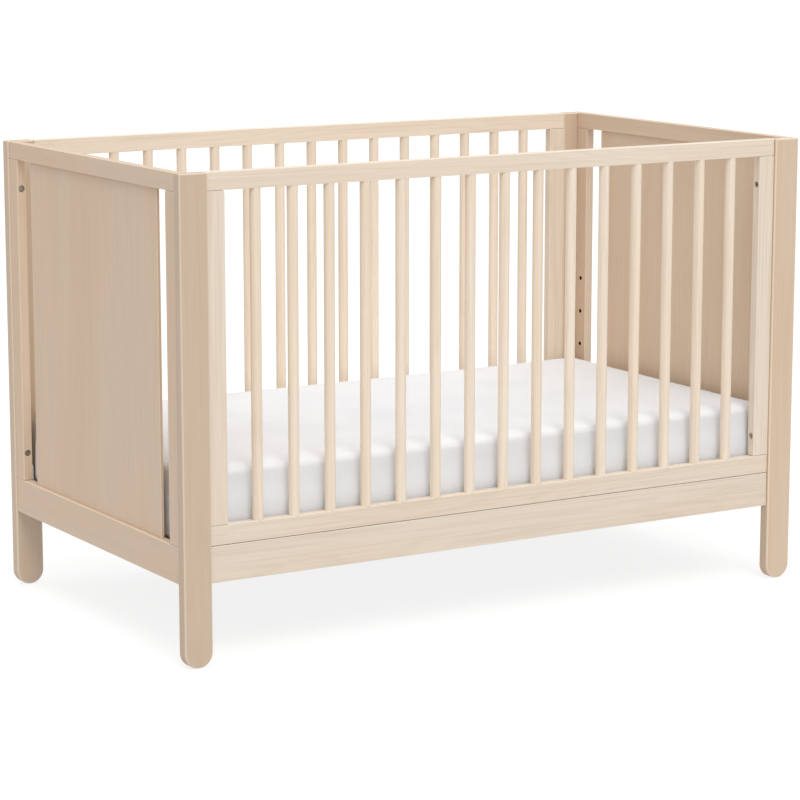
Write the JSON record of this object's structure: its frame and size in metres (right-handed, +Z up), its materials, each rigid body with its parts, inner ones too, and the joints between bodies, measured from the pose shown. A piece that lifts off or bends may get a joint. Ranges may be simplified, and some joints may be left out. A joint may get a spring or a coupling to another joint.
{
  "type": "baby crib",
  "caption": "Full-size baby crib with round-spindle sides, solid panel ends, round-footed flat legs and a mattress on a support that can be set at different heights.",
  "frame": {"origin": "on the floor, under the middle of the crib", "axes": "+Z up, +X along the crib's length with the left end at -X, -Y towards the front"},
  "size_m": [1.368, 0.76, 0.889],
  "materials": {
    "side_wood": "pale washed wood with a fine open grain, matt clear coat",
    "end_wood": "smooth tan wood with a very faint grain, satin clear coat",
    "sheet_fabric": "plain white woven cotton sheet, fitted over the mattress",
    "support_steel": "off-white powder coat",
    "bolt_steel": "zinc-plated hex-socket bolts"
  },
  "bodies": {
    "crib_frame": {"front_left_leg": "end_wood", "front_right_leg": "end_wood", "rear_left_leg": "end_wood", "rear_right_leg": "end_wood", "front_top_rail": "side_wood", "front_bottom_rail": "side_wood", "front_left_stile": "side_wood", "front_right_stile": "side_wood", "front_apron": "side_wood", "front_spindle_01": "side_wood", "front_spindle_02": "side_wood", "front_spindle_03": "side_wood", "front_spindle_04": "side_wood", "front_spindle_05": "side_wood", "front_spindle_06": "side_wood", "front_spindle_07": "side_wood", "front_spindle_08": "side_wood", "front_spindle_09": "side_wood", "front_spindle_10": "side_wood", "front_spindle_11": "side_wood", "front_spindle_12": "side_wood", "front_spindle_13": "side_wood", "front_spindle_14": "side_wood", "front_spindle_15": "side_wood", "rear_top_rail": "side_wood", "rear_bottom_rail": "side_wood", "rear_left_stile": "side_wood", "rear_right_stile": "side_wood", "rear_apron": "side_wood", "rear_spindle_01": "side_wood", "rear_spindle_02": "side_wood", "rear_spindle_03": "side_wood", "rear_spindle_04": "side_wood", "rear_spindle_05": "side_wood", "rear_spindle_06": "side_wood", "rear_spindle_07": "side_wood", "rear_spindle_08": "side_wood", "rear_spindle_09": "side_wood", "rear_spindle_10": "side_wood", "rear_spindle_11": "side_wood", "rear_spindle_12": "side_wood", "rear_spindle_13": "side_wood", "rear_spindle_14": "side_wood", "rear_spindle_15": "side_wood", "left_end_top_rail": "end_wood", "left_end_bottom_rail": "end_wood", "left_end_front_stile": "end_wood", "left_end_rear_stile": "end_wood", "left_end_panel": "end_wood", "right_end_top_rail": "end_wood", "right_end_bottom_rail": "end_wood", "right_end_front_stile": "end_wood", "right_end_rear_stile": "end_wood", "right_end_panel": "end_wood"},
    "mattress_support": {"front_left_support_bracket": "support_steel", "front_right_support_bracket": "support_steel", "rear_left_support_bracket": "support_steel", "rear_right_support_bracket": "support_steel", "support_deck": "support_steel"},
    "mattress": {"mattress": "sheet_fabric"}
  },
  "joints": [
    {"name": "mattress_height", "type": "slide", "parent": "crib_frame", "child": "mattress_support", "axis": [0, 0, 1], "range_m": [0, 0.292]},
    {"name": "mattress_lift", "type": "slide", "parent": "mattress_support", "child": "mattress", "axis": [0, 0, 1], "range_m": [0, 0.7]}
  ]
}
